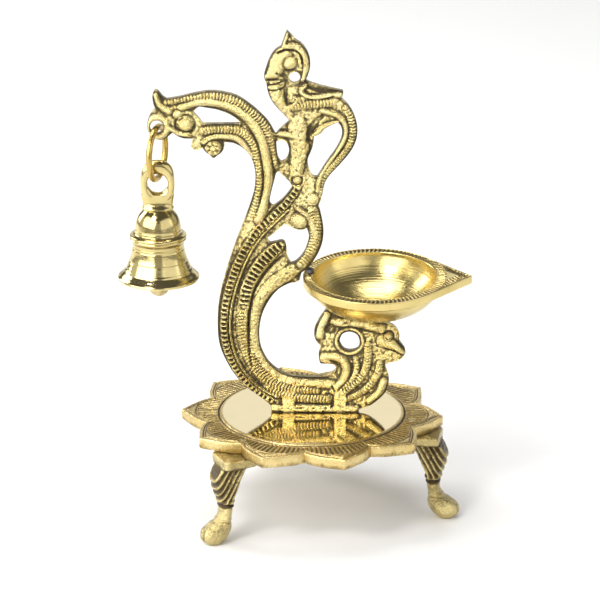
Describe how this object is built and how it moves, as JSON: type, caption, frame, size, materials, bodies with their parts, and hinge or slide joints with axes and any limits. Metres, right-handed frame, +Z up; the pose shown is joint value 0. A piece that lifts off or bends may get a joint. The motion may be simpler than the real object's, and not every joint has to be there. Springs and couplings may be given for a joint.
{
  "type": "standing oil lamp",
  "caption": "Cast brass standing oil lamp: a scrolled bird stand on a lotus plate with cabriole legs, holding a teardrop oil bowl and a hanging bell.",
  "frame": {"origin": "on the ground under the middle of the whole lamp's box", "axes": "+Z up, +X towards the bowl's spout, -X towards the bell, -Y to the front"},
  "size_m": [0.143, 0.1118, 0.2032],
  "materials": {
    "cast_brass": "sand cast, brushed high spots, dark patina in the recesses",
    "plate_brass": "satin petals with engraved lines round a polished disc",
    "turned_brass": "lathe turned and polished",
    "wire_brass": "drawn wire, satin",
    "steel": "plain zinc-plated screws",
    "braze": "dark oxidised solder"
  },
  "bodies": {
    "lamp": {"base_plate": "plate_brass", "leg_front_left": "cast_brass", "leg_rivet_front_left": "cast_brass", "leg_right": "cast_brass", "leg_rivet_right": "cast_brass", "leg_rear": "cast_brass", "leg_rivet_rear": "cast_brass", "scroll_stand": "cast_brass", "stand_screw_left": "steel", "stand_washer_left": "steel", "stand_screw_right": "steel", "stand_washer_right": "steel", "oil_bowl": "turned_brass", "bowl_braze": "braze"},
    "ring": {"bell_ring": "wire_brass"},
    "bell": {"bell_body": "turned_brass", "clapper_eye": "wire_brass"},
    "clapper": {"clapper_rod": "wire_brass", "clapper_ball": "cast_brass"}
  },
  "joints": [
    {"name": "ring_swing", "type": "hinge", "parent": "lamp", "child": "ring", "pos_m": [-0.05485, -0.004, 0.1629], "axis": [0.2756, 0.9613, 0], "range_deg": [-7, 60]},
    {"name": "bell_swing", "type": "hinge", "parent": "ring", "child": "bell", "pos_m": [-0.05485, -0.004, 0.1523], "axis": [0.9613, -0.2756, 0], "range_deg": [-45, 45]},
    {"name": "clapper_swing", "type": "hinge", "parent": "bell", "child": "clapper", "pos_m": [-0.05485, -0.004, 0.12006], "axis": [0, 1, 0], "range_deg": [-16, 16]}
  ]
}
